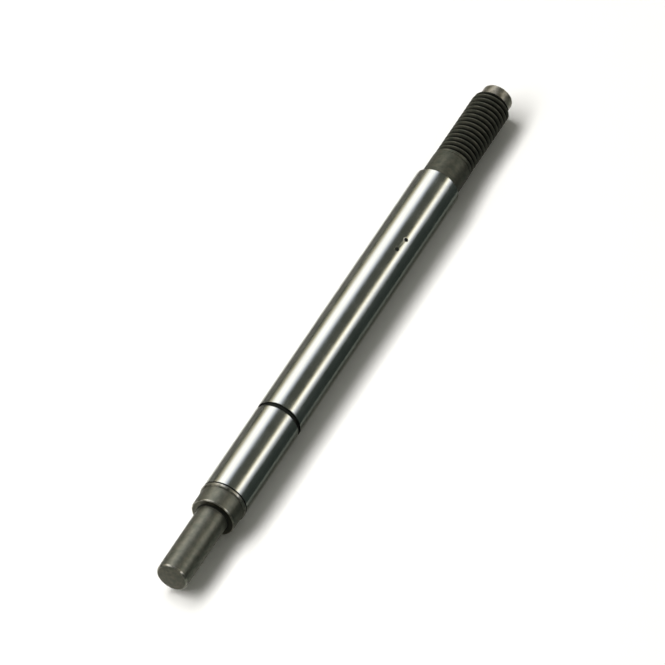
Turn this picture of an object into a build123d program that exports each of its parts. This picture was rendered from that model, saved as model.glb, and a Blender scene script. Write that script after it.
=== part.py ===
from build123d import *
import math
import os

# A hardened and ground rod, turned from one bar of steel and lying on its side along +X.
# It has, in order: an end pin, a collar, a shoulder ring, a ground journal in two lengths
# with a snap-ring groove between them, a neck, an M12 x 1.75 thread and a dog point.
# Lengths are in millimetres. X runs along the rod, and Z = 0 is the surface it lies on.

# The ground journal, which the other diameters follow
journal_diameter = 14.0
near_journal_length = 31.5
main_journal_length = 100.0
journal_end_chamfer = 0.4

# The snap-ring groove between the two lengths of journal
groove_width = 1.5
groove_diameter = 13.0
groove_edge_chamfer = 0.1

# The turned pin at the near end, and the collar that it stands out of
pin_diameter = 9.5
pin_length = 24.7
pin_end_round = 0.8
pin_root_fillet = 0.25
collar_diameter = 13.4
collar_length = 5.7
collar_end_round = 0.4

# The ring left at its turned size, and the relief that the grinding wheel runs out into
ring_diameter = 14.2
ring_length = 1.0
ring_chamfer = 0.3
relief_diameter = 13.6
relief_length = 0.6

# The neck between the journal and the thread
neck_diameter = 12.1
neck_length = 8.5
neck_root_fillet = 0.2

# The thread: M12 x 1.75, right-hand, with its crests a little under the nominal diameter.
# A metric screw is cut 17/24 of its sharp V's height deep, with a flat root a sixth of a pitch wide.
thread_nominal_diameter = 12.0
thread_crest_diameter = 11.9
thread_pitch = 1.75
thread_length = 27.75
thread_end_chamfer = 1.1
thread_flank_angle = math.radians(30.0)
sharp_v_height = thread_pitch * math.cos(thread_flank_angle)
thread_depth = 17 / 24 * sharp_v_height
thread_root_flat = thread_pitch / 6
tool_clearance = 0.35
runout_turns = 1.25
runout_overlap = 0.1
runout_exit = 0.05

# The dog point, turned just under the root of the thread
dog_diameter = 9.5
dog_length = 3.4
dog_end_round = 0.3

# A knock in the main journal: two small pits, joined by a graze that runs askew to the axis
nick_station = 135.2
nick_length = 4.7
nick_angle = 28.4
nick_skew = -9.0
pit_radius = 0.9
pit_depth = 0.22
graze_radius = 0.8
graze_depth = 0.05

# Stations along the rod, from the free face of the pin
pin_end = pin_length
collar_end = pin_end + collar_length
ring_end = collar_end + ring_length
journal_start = ring_end + relief_length
groove_start = journal_start + near_journal_length
groove_end = groove_start + groove_width
journal_end = groove_end + main_journal_length
neck_end = journal_end + neck_length
thread_end = neck_end + thread_length
rod_end = thread_end + dog_length

# Radii, as the lathe's cross slide is set
pin_r = pin_diameter / 2
collar_r = collar_diameter / 2
ring_r = ring_diameter / 2
relief_r = relief_diameter / 2
journal_r = journal_diameter / 2
groove_r = groove_diameter / 2
neck_r = neck_diameter / 2
thread_crest_r = thread_crest_diameter / 2
thread_root_r = thread_nominal_diameter / 2 - thread_depth
dog_r = dog_diameter / 2


def circle_edges(solid, station, radius):
    """The circular edges at one station that have one radius."""
    circles = solid.edges().filter_by(GeomType.CIRCLE)
    tolerance = 0.001
    at_station = [e for e in circles if abs(e.arc_center.X - station) < tolerance]
    return [e for e in at_station if abs(e.radius - radius) < tolerance]


def turned_blank():
    """The rod before it is threaded: half of its section, spun about X, then its edges broken."""
    outline = Polyline(
        (0, 0),
        (0, pin_r),
        (pin_end, pin_r),
        (pin_end, collar_r),
        (collar_end, collar_r),
        (collar_end, ring_r - ring_chamfer),
        (collar_end + ring_chamfer, ring_r),
        (ring_end, ring_r),
        (ring_end, relief_r),
        (journal_start, relief_r),
        (journal_start, journal_r),
        (groove_start - groove_edge_chamfer, journal_r),
        (groove_start, journal_r - groove_edge_chamfer),
        (groove_start, groove_r),
        (groove_end, groove_r),
        (groove_end, journal_r - groove_edge_chamfer),
        (groove_end + groove_edge_chamfer, journal_r),
        (journal_end - journal_end_chamfer, journal_r),
        (journal_end, journal_r - journal_end_chamfer),
        (journal_end, neck_r),
        (neck_end, neck_r),
        (neck_end, thread_crest_r),
        (thread_end - thread_end_chamfer, thread_crest_r),
        (thread_end, thread_crest_r - thread_end_chamfer),
        (thread_end, dog_r),
        (rod_end, dog_r),
        (rod_end, 0),
        close=True,
    )
    blank = revolve(make_face(outline), axis=Axis.X)
    blank = fillet(circle_edges(blank, 0, pin_r), pin_end_round)
    blank = fillet(circle_edges(blank, pin_end, pin_r), pin_root_fillet)
    blank = fillet(circle_edges(blank, pin_end, collar_r), collar_end_round)
    blank = fillet(circle_edges(blank, journal_end, neck_r), neck_root_fillet)
    return fillet(circle_edges(blank, rod_end, dog_r), dog_end_round)


def tool_along(path):
    """The solid that a V-pointed threading tool clears as it follows a path around the rod."""
    start = path @ 0
    reach = thread_depth + tool_clearance
    root_half = thread_root_flat / 2
    mouth_half = root_half + reach * math.tan(thread_flank_angle)
    outwards = Vector(0, start.Y, start.Z).normalized()
    tool_plane = Plane(origin=start, x_dir=outwards, z_dir=path % 0)
    tip = Polyline(
        (0, -root_half),
        (reach, -mouth_half),
        (reach, mouth_half),
        (0, root_half),
        close=True,
    )
    return sweep(tool_plane * make_face(tip), path=path, is_frenet=True)


def thread_cuts():
    """The full-depth groove out past the thread's free end, and the run-out that rises onto the neck."""
    runout = runout_turns * thread_pitch
    overlap = runout_overlap * thread_pitch
    full_start = neck_end + runout - overlap
    full_length = thread_end + thread_pitch - full_start
    full = Helix(thread_pitch, full_length, thread_root_r, center=(full_start, 0, 0), direction=(1, 0, 0))
    rise = neck_r + runout_exit - thread_root_r
    rise_angle = math.degrees(math.atan2(rise, runout))
    fading = Helix(
        thread_pitch,
        runout,
        thread_root_r,
        center=(neck_end + runout, 0, 0),
        direction=(-1, 0, 0),
        cone_angle=rise_angle,
    )
    met = full @ (overlap / full_length)
    loose = fading @ 0
    turn = math.atan2(met.Z, met.Y) - math.atan2(loose.Z, loose.Y)
    fading = fading.rotate(Axis.X, math.degrees(turn))
    return [tool_along(full), tool_along(fading)]


def nick_cuts():
    """Two pits and the graze between them, on the journal's surface at one angle around the rod."""
    half = nick_length / 2
    pits = [
        Pos(side * half, 0, journal_r - pit_depth + pit_radius) * Sphere(pit_radius)
        for side in (-1, 1)
    ]
    graze = Pos(0, 0, journal_r - graze_depth + graze_radius) * Rot(0, 90, 0) * Cylinder(graze_radius, nick_length)
    skewed = [Rot(0, 0, nick_skew) * tool for tool in pits + [graze]]
    return [Pos(nick_station, 0, 0) * Rot(nick_angle, 0, 0) * tool for tool in skewed]


rod = turned_blank()
for cut in nick_cuts() + thread_cuts():
    rod = rod - cut

# Mid-length over the origin, resting on the ring, the largest diameter
rod = Pos(-rod_end / 2, 0, ring_r) * rod

os.makedirs("parts", exist_ok=True)
export_step(rod, "parts/ground_rod.step")
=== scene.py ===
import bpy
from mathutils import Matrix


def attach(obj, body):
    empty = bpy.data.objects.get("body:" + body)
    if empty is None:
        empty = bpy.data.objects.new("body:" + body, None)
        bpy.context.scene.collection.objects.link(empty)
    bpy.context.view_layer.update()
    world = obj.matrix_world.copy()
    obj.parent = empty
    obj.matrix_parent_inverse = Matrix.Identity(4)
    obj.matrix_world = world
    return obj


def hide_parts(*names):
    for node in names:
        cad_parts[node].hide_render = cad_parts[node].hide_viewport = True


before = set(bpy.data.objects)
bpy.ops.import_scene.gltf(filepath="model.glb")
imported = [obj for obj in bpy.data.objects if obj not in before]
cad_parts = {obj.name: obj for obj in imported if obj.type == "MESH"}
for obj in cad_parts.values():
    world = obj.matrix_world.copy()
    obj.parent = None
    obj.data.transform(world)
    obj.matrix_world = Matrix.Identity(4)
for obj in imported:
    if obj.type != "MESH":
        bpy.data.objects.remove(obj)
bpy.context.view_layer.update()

import math

import bmesh
import bpy
from mathutils import Matrix, Vector

# ---------------------------------------------------------------------------------------------
# The camera looks down on the rod from the pin end, from well over two metres away through a
# long lens, so that the rod keeps nearly the same width from end to end.

sensor_width_mm = 36.0
lens_mm = 438.9
camera_heading = math.radians(27.01)
camera_dip = math.radians(48.65)
camera_distance = 2.306
camera_aim = Vector((-0.00127, 0.001375, 0.00719))

camera_data = bpy.data.cameras.new("camera")
camera_data.sensor_width = sensor_width_mm
camera_data.lens = lens_mm
camera = bpy.data.objects.new("camera", camera_data)
bpy.context.scene.collection.objects.link(camera)
sight = Vector((
    math.cos(camera_heading) * math.cos(camera_dip),
    math.sin(camera_heading) * math.cos(camera_dip),
    -math.sin(camera_dip),
))
camera.location = camera_aim - camera_distance * sight
camera.rotation_euler = sight.to_track_quat("-Z", "Y").to_euler()
bpy.context.scene.camera = camera

# ---------------------------------------------------------------------------------------------
# The rod is turned from one bar of steel. A lathe cuts its outline, so the outline is drawn here
# as the tool's path from the free face of the pin, in millimetres along and out from the axis.
# Each cut is a straight line or, at an edge, a small arc, and the whole path is then spun.

MM = 0.001
SPIN_STEPS = 256
ARC_STEPS = 4
LAND = 0.08

rod = bmesh.new()
tool = [rod.verts.new((0, 0, 0))]


def cut_to(station, radius):
    """Moves the tool in a straight line."""
    fresh = bmesh.ops.extrude_vert_indiv(rod, verts=[tool[-1]])["verts"][0]
    fresh.co = (station, 0, radius)
    tool.append(fresh)


def cut_along(station, radius):
    """Cuts a straight face, with a narrow land at each end that holds its shading flat."""
    start = tool[-1].co.copy()
    run = Vector((station, 0, radius)) - start
    for share in (LAND / run.length, 1 - LAND / run.length):
        cut_to(start.x + share * run.x, start.z + share * run.z)
    cut_to(station, radius)


def cut_arc(centre_station, centre_radius, turn):
    """Moves the tool around an edge. A positive turn is clockwise, seen with the pin to the left."""
    arc = bmesh.ops.spin(
        rod,
        geom=[tool[-1]],
        cent=(centre_station, 0, centre_radius),
        axis=(0, 1, 0),
        angle=math.radians(turn),
        steps=ARC_STEPS,
    )
    tool.append(arc["geom_last"][0])


# The end pin and the collar, left as turned and heat treated, with their edges rounded over
pin_length = 24.7
pin_radius = 4.75
pin_round = 0.8
pin_fillet = 0.25
collar_length = 5.7
collar_radius = 6.7
collar_round = 0.4
collar_end = pin_length + collar_length

cut_to(0, pin_radius - pin_round)
cut_arc(pin_round, pin_radius - pin_round, 90)
cut_along(pin_length - pin_fillet, pin_radius)
cut_arc(pin_length - pin_fillet, pin_radius + pin_fillet, -90)
cut_along(pin_length, collar_radius - collar_round)
cut_arc(pin_length + collar_round, collar_radius - collar_round, 90)
cut_along(collar_end, collar_radius)

# The shoulder ring, and the relief that the grinding wheel runs out into
ring_length = 1.0
ring_radius = 7.1
ring_chamfer = 0.3
relief_length = 0.6
relief_radius = 6.8
ring_end = collar_end + ring_length
relief_end = ring_end + relief_length

cut_along(collar_end, ring_radius - ring_chamfer)
cut_to(collar_end + ring_chamfer, ring_radius)
cut_along(ring_end, ring_radius)
cut_along(ring_end, relief_radius)
cut_along(relief_end, relief_radius)

# The ground journal, in two lengths with a snap-ring groove between them. Close rings of faces
# stand ready where the knock is dented in below.
journal_radius = 7.0
near_journal_length = 31.5
main_journal_length = 100.0
journal_chamfer = 0.4
groove_width = 1.5
groove_radius = 6.5
groove_chamfer = 0.1
groove_start = relief_end + near_journal_length
groove_end = groove_start + groove_width
journal_end = groove_end + main_journal_length
knock_station = 135.2
knock_reach = 3.6
knock_start = knock_station - knock_reach
knock_end = knock_station + knock_reach
KNOCK_RINGS = 60

cut_along(relief_end, journal_radius)
cut_along(groove_start - groove_chamfer, journal_radius)
cut_to(groove_start, journal_radius - groove_chamfer)
cut_along(groove_start, groove_radius)
cut_along(groove_end, groove_radius)
cut_along(groove_end, journal_radius - groove_chamfer)
cut_to(groove_end + groove_chamfer, journal_radius)
cut_to(groove_end + groove_chamfer + LAND, journal_radius)
for ring in range(KNOCK_RINGS + 1):
    cut_to(knock_start + (knock_end - knock_start) * ring / KNOCK_RINGS, journal_radius)
cut_along(journal_end - journal_chamfer, journal_radius)
cut_to(journal_end, journal_radius - journal_chamfer)

# The neck behind the thread
neck_length = 8.5
neck_radius = 6.05
neck_fillet = 0.2
neck_end = journal_end + neck_length

cut_along(journal_end, neck_radius + neck_fillet)
cut_arc(journal_end + neck_fillet, neck_radius + neck_fillet, -90)
cut_along(neck_end, neck_radius)

# The dog point, a short plain stub turned just under the root of the thread
thread_length = 27.75
dog_length = 3.4
dog_radius = 4.75
dog_round = 0.3
thread_end = neck_end + thread_length
rod_end = thread_end + dog_length

tool.append(rod.verts.new((thread_end, 0, dog_radius)))
cut_along(rod_end - dog_round, dog_radius)
cut_arc(rod_end - dog_round, dog_radius - dog_round, 90)
cut_to(rod_end, 0)

bmesh.ops.spin(
    rod,
    geom=rod.verts[:] + rod.edges[:],
    cent=(0, 0, 0),
    axis=(1, 0, 0),
    angle=math.tau,
    steps=SPIN_STEPS,
    use_merge=True,
)

# The knock in the journal is two small pits that something hard left, joined by a graze
knock_angle = math.radians(118.4)
pit_apart = 4.7
pit_skew = math.radians(9.0)
pit_half_width = 0.62
pit_depth = 0.22
graze_half_width = 0.22
graze_depth = 0.012


def knock_depth(along, across):
    """How far the journal is pressed in, at a place measured from the middle of the knock."""
    nearest = max(-pit_apart / 2, min(pit_apart / 2, along))
    pit = math.hypot(abs(along) - pit_apart / 2, across) / pit_half_width
    graze = math.hypot(along - nearest, across) / graze_half_width
    return pit_depth * max(0, 1 - pit**2) + graze_depth * max(0, 1 - graze**2) * (pit > 1)


for vert in rod.verts:
    if knock_start <= vert.co.x <= knock_end:
        along = vert.co.x - knock_station
        across = journal_radius * (math.atan2(vert.co.z, vert.co.y) - knock_angle)
        turned_along = along * math.cos(pit_skew) + across * math.sin(pit_skew)
        turned_across = across * math.cos(pit_skew) - along * math.sin(pit_skew)
        shrink = 1 - knock_depth(turned_along, turned_across) / journal_radius
        vert.co.y *= shrink
        vert.co.z *= shrink

# The thread is M12 x 1.75, right-hand, with crests a little under the nominal size. A metric screw
# is cut 17/24 of its sharp V's height deep, with a flat root a sixth of a pitch wide. One pitch of
# its outline is screwed round a turn, and the turn is copied along the rod, with spare turns to
# trim. At the neck the cut fades out over a turn and a quarter, and the free end is chamfered.
nominal_radius = 6.0
crest_radius = 5.95
pitch = 1.75
flank_angle = math.radians(30)
root_radius = nominal_radius - 17 / 24 * pitch * math.cos(flank_angle)
root_flat = pitch / 6
thread_chamfer = 1.1
runout_turns = 1.25
thread_phase = math.radians(-105.4)
THREAD_STEPS = 144
FLANK_STEPS = 5
SPARE_TURNS = 2

screw = bmesh.new()
first_turn = math.floor(neck_end / pitch) - SPARE_TURNS
turns = math.ceil(thread_length / pitch) + 2 * SPARE_TURNS
root_depth = crest_radius - root_radius
flank_run = root_depth * math.tan(flank_angle)
outline = [(0.0, root_radius)]
for step in range(FLANK_STEPS + 1):
    share = step / FLANK_STEPS
    outline.append((root_flat / 2 + share * flank_run, root_radius + share * root_depth))
outline.append((pitch / 2, crest_radius))
outline += [(pitch - across, radius) for across, radius in reversed(outline[:-1])]
section = [
    screw.verts.new((first_turn * pitch + across, 0, radius)) for across, radius in outline
]
chain = [screw.edges.new(pair) for pair in zip(section, section[1:])]
bmesh.ops.spin(
    screw,
    geom=section + chain,
    cent=(0, 0, 0),
    axis=(1, 0, 0),
    dvec=(pitch / THREAD_STEPS, 0, 0),
    angle=math.tau,
    steps=THREAD_STEPS,
)
one_turn = screw.verts[:] + screw.edges[:] + screw.faces[:]
for turn in range(1, turns):
    copied = bmesh.ops.duplicate(screw, geom=one_turn)["geom"]
    moved = [item for item in copied if isinstance(item, bmesh.types.BMVert)]
    bmesh.ops.translate(screw, verts=moved, vec=(turn * pitch, 0, 0))
bmesh.ops.remove_doubles(screw, verts=screw.verts, dist=0.002)
bmesh.ops.rotate(
    screw, verts=screw.verts, cent=(0, 0, 0), matrix=Matrix.Rotation(thread_phase, 3, "X")
)
for vert in screw.verts:
    radius = math.hypot(vert.co.y, vert.co.z)
    fading = 1 - (vert.co.x - neck_end) / (runout_turns * pitch)
    faded = min(crest_radius, radius + max(0, (neck_radius - root_radius) * fading))
    chamfered = min(faded, crest_radius - thread_chamfer + max(0, thread_end - vert.co.x))
    vert.co.y *= chamfered / radius
    vert.co.z *= chamfered / radius
for station, side in ((neck_end, -1), (thread_end, 1)):
    bmesh.ops.bisect_plane(
        screw,
        geom=screw.verts[:] + screw.edges[:] + screw.faces[:],
        dist=0.0001,
        plane_co=(station, 0, 0),
        plane_no=(side, 0, 0),
        clear_outer=True,
    )
thread_mesh = bpy.data.meshes.new("thread")
screw.to_mesh(thread_mesh)
screw.free()
rod.from_mesh(thread_mesh)
bpy.data.meshes.remove(thread_mesh)


def close_step(station):
    """Bridges the two rings of open edges that meet in one plane, at a step in the rod's radius."""
    near_plane = LAND / 4
    open_edges = [
        edge
        for edge in rod.edges
        if edge.is_boundary and all(abs(vert.co.x - station) < near_plane for vert in edge.verts)
    ]
    bmesh.ops.bridge_loops(rod, edges=open_edges)


bmesh.ops.remove_doubles(rod, verts=rod.verts, dist=0.0005)
close_step(neck_end)
close_step(thread_end)
bmesh.ops.recalc_face_normals(rod, faces=rod.faces)

# The finishes that the lathe, the wheel, the furnace and handling left on the steel. Their
# patterns are laid out from the rod's axis. A contrast is the part of a noise's range over which
# its pattern goes from one value to the other.
RING_CONTRAST = (0.3, 0.7)
PATCH_CONTRAST = (0.35, 0.65)
PATCH_GRAIN = 0.55
ring_depth_mm = 0.004


def linear(hex_colour):
    """An sRGB colour as the linear RGBA that a shader reads."""
    channels = [int(hex_colour[i : i + 2], 16) / 255 for i in (1, 3, 5)]
    return [c / 12.92 if c <= 0.04045 else ((c + 0.055) / 1.055) ** 2.4 for c in channels] + [1]


def add_node(owner, kind, links=(), feeds=(), stops=(), **settings):
    """Adds one node to a material or a lamp, with its settings or input values by name.

    Links are (another node's output, this node's input), feeds are (this node's output, another
    node's input), and stops are (position, colour) along a colour ramp.
    """
    tree = owner.node_tree
    node = tree.nodes.new(kind)
    for name, value in settings.items():
        if name in node.bl_rna.properties:
            setattr(node, name, value)
        else:
            node.inputs[name.replace("_", " ")].default_value = value
    for output, own_input in links:
        tree.links.new(output, node.inputs[own_input])
    for own_output, socket in feeds:
        tree.links.new(node.outputs[own_output], socket)
    for _ in stops[2:]:
        node.color_ramp.elements.new(0.5)
    for stop, (position, colour) in enumerate(stops):
        node.color_ramp.elements[stop].position = position
        node.color_ramp.elements[stop].color = colour
    return node


def new_finish(name, **values):
    """A material with only its Principled shader in it, and that shader, with some inputs set."""
    material = bpy.data.materials.new(name)
    material.use_nodes = True
    shader = material.node_tree.nodes["Principled BSDF"]
    for socket, value in values.items():
        shader.inputs[socket.replace("_", " ")].default_value = value
    return material, shader


def place_on_rod(material):
    """The rod's own coordinates, with their origin moved from the floor up to its axis."""
    place = add_node(material, "ShaderNodeTexCoord")
    centred = add_node(
        material,
        "ShaderNodeMapping",
        [(place.outputs["Object"], "Vector")],
        Location=(0, 0, -ring_radius * MM),
    )
    return centred.outputs["Vector"]


def distance_out(material, place):
    """How far a place is from the rod's axis."""
    flat = add_node(material, "ShaderNodeMapping", [(place, "Vector")], Scale=(0, 1, 1))
    out = add_node(
        material, "ShaderNodeVectorMath", [(flat.outputs["Vector"], 0)], operation="LENGTH"
    )
    return out.outputs["Value"]


def rings_round(material, place, spacing_mm, around_mm):
    """The fine uneven rings of a tool: one spacing along the rod, and a longer one around it."""
    stretched = add_node(
        material,
        "ShaderNodeMapping",
        [(place, "Vector")],
        Scale=(1 / (spacing_mm * MM), 1 / (around_mm * MM), 1 / (around_mm * MM)),
    )
    rings = add_node(
        material,
        "ShaderNodeTexNoise",
        [(stretched.outputs["Vector"], "Vector")],
        Scale=1,
        Detail=2,
        Roughness=0.6,
    )
    return rings.outputs["Fac"]


def lay_oxide(material, shader, place, rings, patch_mm, detail, colours, roughness):
    """Lays a dull skin, in soft patches of two colours, over a tool's rings. Gives its colour."""
    patches = add_node(
        material,
        "ShaderNodeTexNoise",
        [(place, "Vector")],
        Scale=1 / (patch_mm * MM),
        Detail=detail,
        Roughness=PATCH_GRAIN,
    )
    skin = add_node(
        material,
        "ShaderNodeValToRGB",
        [(patches.outputs["Fac"], "Fac")],
        [("Color", shader.inputs["Base Color"])],
        stops=[(at, linear(colour)) for at, colour in zip(PATCH_CONTRAST, colours)],
    )
    add_node(
        material,
        "ShaderNodeMapRange",
        [(rings, "Value")],
        [("Result", shader.inputs["Roughness"])],
        From_Min=RING_CONTRAST[0],
        From_Max=RING_CONTRAST[1],
        To_Min=roughness[0],
        To_Max=roughness[1],
    )
    add_node(
        material,
        "ShaderNodeBump",
        [(rings, "Height")],
        [("Normal", shader.inputs["Normal"])],
        Strength=0.25,
        Distance=ring_depth_mm * MM,
    )
    return skin.outputs["Color"]


# Ground steel, from a wheel run round the journal: a bright, slightly blurred mirror, with faint
# duller patches from handling. The wheel's scratches lie round the rod. They are drawn a few times
# coarser than real ones, and still only blur what the journal reflects.
scratch_mm = 0.05
scratch_depth_mm = 0.001
handled_mm = 7

ground_steel, shader = new_finish(
    "cylindrically_ground_steel",
    Metallic=1,
    Base_Color=linear("#CBCCC7"),
    Specular_Tint=linear("#C4C5C0"),
)
place = place_on_rod(ground_steel)
scratches = rings_round(ground_steel, place, spacing_mm=scratch_mm, around_mm=9)
handled = add_node(
    ground_steel,
    "ShaderNodeTexNoise",
    [(place, "Vector")],
    Scale=1 / (handled_mm * MM),
    Detail=3,
    Roughness=PATCH_GRAIN,
)
dulled = add_node(
    ground_steel,
    "ShaderNodeMath",
    [(scratches, 0), (handled.outputs["Fac"], 1)],
    operation="MULTIPLY",
)
add_node(
    ground_steel,
    "ShaderNodeMapRange",
    [(dulled.outputs["Value"], "Value")],
    [("Result", shader.inputs["Roughness"])],
    From_Min=0.15,
    From_Max=0.4,
    To_Min=0.17,
    To_Max=0.27,
)
add_node(
    ground_steel,
    "ShaderNodeBump",
    [(scratches, "Height")],
    [("Normal", shader.inputs["Normal"])],
    Strength=0.12,
    Distance=scratch_depth_mm * MM,
)

# Turned and heat-treated steel: a thin olive-grey oxide, mottled, over the fine rings of the
# lathe, which stand one feed of its tool apart
feed_mm = 0.16
ring_around_mm = 14

treated_steel, shader = new_finish("heat_treated_turned_steel", Metallic=1)
place = place_on_rod(treated_steel)
lay_oxide(
    treated_steel,
    shader,
    place,
    rings_round(treated_steel, place, feed_mm, ring_around_mm),
    patch_mm=1.6,
    detail=5,
    colours=("#74766C", "#88867B"),
    roughness=(0.42, 0.56),
)

# The thread and its neck, blacker and duller. The thread's roots carry painted shade: near black up
# to a quarter of the flank, fading out towards the crest.
root_shade_full = 0.25
root_shade_end = 0.9

thread_steel, shader = new_finish("heat_treated_threaded_steel", Metallic=0.7)
place = place_on_rod(thread_steel)
black_scale = lay_oxide(
    thread_steel,
    shader,
    place,
    rings_round(thread_steel, place, feed_mm, ring_around_mm),
    patch_mm=1.6,
    detail=5,
    colours=("#494C43", "#5D5C51"),
    roughness=(0.46, 0.62),
)
root_shade_fade = add_node(
    thread_steel,
    "ShaderNodeMapRange",
    [(distance_out(thread_steel, place), "Value")],
    From_Min=(root_radius + root_shade_full * root_depth) * MM,
    From_Max=(root_radius + root_shade_end * root_depth) * MM,
)
# Painted shade: the roots are mixed towards near black, and the crests keep the oxide's colour
add_node(
    thread_steel,
    "ShaderNodeMix",
    [(root_shade_fade.outputs["Result"], "Factor"), (black_scale, "B")],
    [("Result", shader.inputs["Base Color"])],
    data_type="RGBA",
    A=linear("#10110E"),
)

# The faces of the pin and of the collar, darker than the turned sides, with the rings of a facing cut
# round the axis. On the collar's face this dark is painted shade from the pin's root.
facing_feed_mm = 0.14

faced_steel, shader = new_finish("dark_faced_steel_with_painted_shade", Metallic=1)
place = place_on_rod(faced_steel)
facing_rings = add_node(
    faced_steel,
    "ShaderNodeTexNoise",
    [(distance_out(faced_steel, place), "W")],
    noise_dimensions="1D",
    Scale=1 / (facing_feed_mm * MM),
    Detail=2,
)
lay_oxide(
    faced_steel,
    shader,
    place,
    facing_rings.outputs["Fac"],
    patch_mm=1.2,
    detail=4,
    colours=("#43453D", "#565449"),
    roughness=(0.4, 0.55),
)

# The edges, rubbed through to brighter and smoother steel here and there by handling
rub_mm = 1.1
rub_colours = ("#74736A", "#C4C1B6")

rubbed_steel, shader = new_finish("rubbed_steel_edge", Metallic=1)
rubs = add_node(
    rubbed_steel,
    "ShaderNodeTexNoise",
    [(place_on_rod(rubbed_steel), "Vector")],
    Scale=1 / (rub_mm * MM),
    Detail=3,
    Roughness=PATCH_GRAIN,
)
add_node(
    rubbed_steel,
    "ShaderNodeValToRGB",
    [(rubs.outputs["Fac"], "Fac")],
    [("Color", shader.inputs["Base Color"])],
    stops=[(at, linear(colour)) for at, colour in zip(PATCH_CONTRAST, rub_colours)],
)
add_node(
    rubbed_steel,
    "ShaderNodeMapRange",
    [(rubs.outputs["Fac"], "Value")],
    [("Result", shader.inputs["Roughness"])],
    From_Min=0.3,
    From_Max=0.7,
    To_Min=0.42,
    To_Max=0.28,
)

# The dog point, where the oxide is worn thin: warmer, paler and a little smoother than the rest
worn_steel, shader = new_finish("worn_turned_steel", Metallic=1)
place = place_on_rod(worn_steel)
lay_oxide(
    worn_steel,
    shader,
    place,
    rings_round(worn_steel, place, feed_mm, ring_around_mm),
    patch_mm=1.4,
    detail=4,
    colours=("#817D72", "#A7A296"),
    roughness=(0.36, 0.5),
)

# Painted shade in the corners: the groove, the relief, the root of the pin and the bottoms of the two
# pits are painted nearly black and without shine, for the shade that falls in them
shade_painted_steel, shader = new_finish(
    "turned_steel_with_painted_shade", Metallic=0.5, Specular_IOR_Level=0.25
)
place = place_on_rod(shade_painted_steel)
lay_oxide(
    shade_painted_steel,
    shader,
    place,
    rings_round(shade_painted_steel, place, spacing_mm=0.12, around_mm=9),
    patch_mm=1.3,
    detail=4,
    colours=("#141614", "#262823"),
    roughness=(0.5, 0.66),
)

# Where each finish lies. An edge or a corner is a band of stations and a band of radii, and where
# faces lie just on a band's limit it is opened by a hair. A face is square on to the axis where
# more than SQUARE_ON of its normal runs along it.
HAIR = 0.01
SQUARE_ON = 0.9
pin_rub = 0.3 * pin_round
# How far the painted shade reaches at the pin's root, in the relief and in the knock
root_shade_length = 1.3
root_shade_width = 0.3
relief_shade_depth = 0.1
knock_shade_depth = 0.016

GROUND, TREATED, THREADED, FACED, RUBBED, WORN, SHADE_PAINTED = range(7)
RUBBED_EDGES = (
    (0, pin_round, pin_radius - pin_rub, pin_radius),
    (pin_length, pin_length + collar_round, collar_radius - collar_round, collar_radius),
    (collar_end, ring_end, ring_radius - ring_chamfer, ring_radius + HAIR),
    (rod_end - dog_round, rod_end, dog_radius - dog_round, dog_radius),
)
# The bands painted nearly black as shade: the pin's root, the relief, the groove and the knock's pits
SHADE_PAINTED_CORNERS = (
    (
        pin_length - root_shade_length,
        pin_length + HAIR,
        pin_radius - HAIR,
        pin_radius + pin_fillet + root_shade_width,
    ),
    (ring_end - HAIR, relief_end + HAIR, 0, ring_radius - relief_shade_depth),
    (groove_start - HAIR, groove_end + HAIR, 0, journal_radius - groove_chamfer),
    (knock_start, knock_end, 0, journal_radius - knock_shade_depth),
)


def lies_in(bands, station, radius):
    """Whether a place on the rod is in any of the bands."""
    return any(
        start < station < end and inner < radius < outer for start, end, inner, outer in bands
    )


for face in rod.faces:
    middle = face.calc_center_median()
    station = middle.x
    radius = math.hypot(middle.y, middle.z)
    # Painted shade is laid first, over every other finish
    if lies_in(SHADE_PAINTED_CORNERS, station, radius):
        face.material_index = SHADE_PAINTED
    elif relief_end < station < journal_end:
        face.material_index = GROUND
    elif journal_end < station < thread_end:
        face.material_index = THREADED
    elif lies_in(RUBBED_EDGES, station, radius):
        face.material_index = RUBBED
    elif station > thread_end:
        face.material_index = WORN
    # The pin's face and the collar's face take the dark faced finish, which is painted shade on the
    # collar's face
    elif abs(face.normal.x) > SQUARE_ON and radius < collar_radius - collar_round:
        face.material_index = FACED
    else:
        face.material_index = TREATED
    face.smooth = True

# The rod lies on the floor on its largest ring, with its middle over the origin
sharp_edge = math.radians(32)

bmesh.ops.translate(rod, verts=rod.verts, vec=(-rod_end / 2, 0, ring_radius))
bmesh.ops.scale(rod, verts=rod.verts, vec=(MM, MM, MM))
rod_mesh = bpy.data.meshes.new("stepped_rod")
rod.to_mesh(rod_mesh)
rod.free()
rod_mesh.set_sharp_from_angle(angle=sharp_edge)
for finish in (
    ground_steel,
    treated_steel,
    thread_steel,
    faced_steel,
    rubbed_steel,
    worn_steel,
    shade_painted_steel,
):
    rod_mesh.materials.append(finish)
stepped_rod = bpy.data.objects.new("stepped_rod", rod_mesh)
bpy.context.scene.collection.objects.link(stepped_rod)
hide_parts("ground_rod")
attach(stepped_rod, "root")

# ---------------------------------------------------------------------------------------------
# The floor is a wide sheet of matt white paper, with no gloss of its own, so it stays plain white
# where the lamps reach it and darkens only in the rod's shadow.

floor_radius = 4

paper, _ = new_finish(
    "matt_white_paper", Base_Color=linear("#FAFAFA"), Roughness=1, Specular_IOR_Level=0
)
sheet = bmesh.new()
bmesh.ops.create_circle(sheet, cap_ends=True, radius=floor_radius, segments=64)
floor_mesh = bpy.data.meshes.new("floor")
sheet.to_mesh(floor_mesh)
sheet.free()
floor_mesh.materials.append(paper)
floor = bpy.data.objects.new("floor", floor_mesh)
bpy.context.scene.collection.objects.link(floor)

# ---------------------------------------------------------------------------------------------
# Two long softboxes hang either side of the rod, parallel to it, and show as its two bright bands,
# each fading to a warm edge on its far side and a cool one on its near side. A key lamp over the
# far side throws the shadow, and a broad dim one overhead lifts it. Sizes are metres and degrees.


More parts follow.
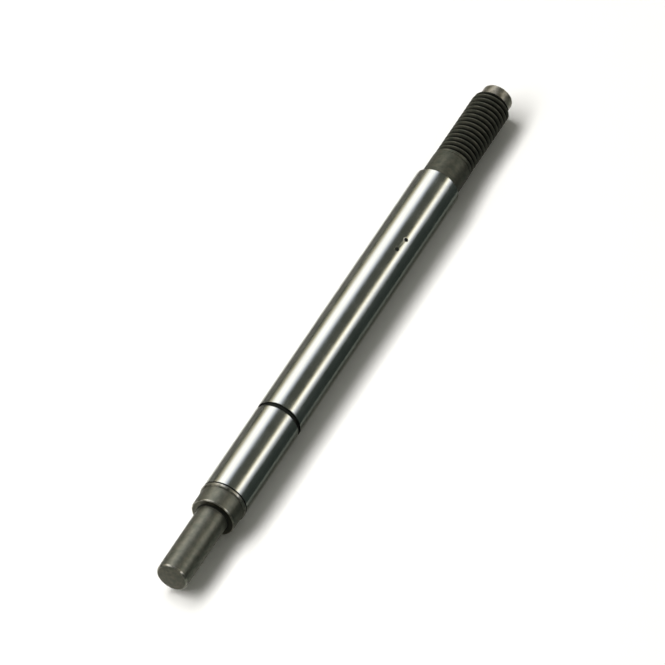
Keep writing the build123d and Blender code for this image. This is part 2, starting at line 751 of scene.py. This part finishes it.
def hang_lamp(name, angle, reach, ahead, width, length, radiance):
    """A lamp turned towards the rod, at an angle up from the floor on the far side. Its power
    is worked out from how bright its face is."""
    data = bpy.data.lights.new(name, "AREA")
    data.shape = "RECTANGLE"
    data.size = length
    data.size_y = width
    data.energy = radiance * math.pi * length * width
    lamp = bpy.data.objects.new(name, data)
    bpy.context.scene.collection.objects.link(lamp)
    back = Vector((0, math.cos(math.radians(angle)), math.sin(math.radians(angle))))
    facing = Matrix((
        (1, 0, 0, 0),
        (0, back.z, back.y, 0),
        (0, -back.y, back.z, 0),
        (0, 0, 0, 1),
    ))
    lamp.matrix_world = Matrix.Translation(reach * back + Vector((ahead, 0, 0))) @ facing
    lamp.visible_camera = False
    return lamp


def fade_across(lamp, stops):
    """Grades a lamp across its width by (share, level, tint), starting from its far edge."""
    data = lamp.data
    data.use_nodes = True
    emission = data.node_tree.nodes["Emission"]
    nearward = lamp.matrix_world.to_3x3() @ Vector((0, -1, 0))
    middle = lamp.matrix_world.translation.dot(nearward)
    place = add_node(data, "ShaderNodeNewGeometry")
    across = add_node(
        data, "ShaderNodeVectorMath", [(place.outputs["Position"], 0)], operation="DOT_PRODUCT"
    )
    across.inputs[1].default_value = nearward
    share = add_node(
        data,
        "ShaderNodeMapRange",
        [(across.outputs["Value"], "Value")],
        From_Min=middle - data.size_y / 2,
        From_Max=middle + data.size_y / 2,
    )
    grade = add_node(
        data,
        "ShaderNodeValToRGB",
        [(share.outputs["Result"], "Fac")],
        [("Color", emission.inputs["Color"])],
        stops=[(at, [level * channel for channel in tint] + [1]) for at, level, tint in stops],
    )
    grade.color_ramp.interpolation = "CARDINAL"


WARM = (1.0, 0.91, 0.64)
PLAIN = (1.0, 0.985, 0.96)
COOL = (0.83, 0.87, 1.0)

far_box = hang_lamp(
    "softbox_far", angle=49.0, reach=1.0, ahead=0.4, width=1.40, length=2.6, radiance=1.75
)
fade_across(
    far_box,
    [
        (0, 0.05, WARM),
        (0.15, 0.17, WARM),
        (0.27, 0.43, WARM),
        (0.37, 0.78, PLAIN),
        (0.45, 1, PLAIN),
        (0.66, 0.98, PLAIN),
        (0.81, 0.66, COOL),
        (1, 0.05, COOL),
    ],
)
near_box = hang_lamp(
    "softbox_near", angle=147.8, reach=1.0, ahead=0.4, width=0.77, length=2.6, radiance=1.9
)
fade_across(
    near_box,
    [
        (0, 0.08, WARM),
        (0.1, 0.28, WARM),
        (0.2, 0.85, WARM),
        (0.3, 1, PLAIN),
        (0.42, 0.9, PLAIN),
        (0.6, 0.46, COOL),
        (0.78, 0.12, COOL),
        (1, 0, COOL),
    ],
)
key = hang_lamp(
    "key_lamp", angle=68.0, reach=2.0, ahead=-0.9, width=1.072, length=3.3, radiance=11.9
)
fade_across(
    key,
    [
        (0, 0.95, PLAIN),
        (0.09, 1, PLAIN),
        (0.32, 0.75, PLAIN),
        (0.735, 0.22, PLAIN),
        (1, 0.02, PLAIN),
    ],
)
fill = hang_lamp(
    "fill_lamp", angle=95.0, reach=1.5, ahead=0.0, width=7.0, length=7.0, radiance=0.155
)
fill.data.color = (1.0, 0.95, 0.88)

# The softboxes light only what mirrors them, and the other two lamps light only what is matt.
for lamp in (far_box, near_box):
    lamp.visible_diffuse = False
for lamp in (key, fill):
    lamp.visible_glossy = False

# ---------------------------------------------------------------------------------------------
# Three cards stand close along the rod: one on the far side and, on the near side, a dark one
# above a lighter one. They come between the journal's sides and the white floor, and darken what
# the sides reflect. The camera doesn't see them, and they throw no shadow.

card_ends = (-0.16, 0.26)
near_offset = -0.0092
near_split = 0.0068


def stand_card(name, offset, foot, height, colour):
    """A matt card parallel to the rod, offset to its far side, with its foot so high off the floor."""
    matt_card, _ = new_finish("matt_grey_card", Base_Color=linear(colour), Roughness=1)
    card = bmesh.new()
    corners = [card.verts.new((along, offset, foot)) for along in card_ends]
    bottom = card.edges.new(corners)
    top = bmesh.ops.extrude_edge_only(card, edges=[bottom])
    raised = [item for item in top["geom"] if isinstance(item, bmesh.types.BMVert)]
    bmesh.ops.translate(card, verts=raised, vec=(0, 0, height))
    mesh = bpy.data.meshes.new(name)
    card.to_mesh(mesh)
    card.free()
    mesh.materials.append(matt_card)
    standing = bpy.data.objects.new(name, mesh)
    bpy.context.scene.collection.objects.link(standing)
    standing.visible_camera = False
    standing.visible_shadow = False
    standing.visible_diffuse = False


stand_card("flag_far", offset=0.024, foot=0, height=0.0155, colour="#A8A8A8")
stand_card("flag_near", offset=near_offset, foot=0, height=near_split, colour="#A2A8A2")
stand_card("flag_near_top", offset=near_offset, foot=near_split, height=0.0062, colour="#38423F")

# The rest of the room is a dim olive grey
world = bpy.data.worlds.new("studio")
world.use_nodes = True
world.node_tree.nodes["Background"].inputs["Color"].default_value = linear("#4F524B")
bpy.context.scene.world = world
bpy.context.scene.view_settings.view_transform = "Standard"
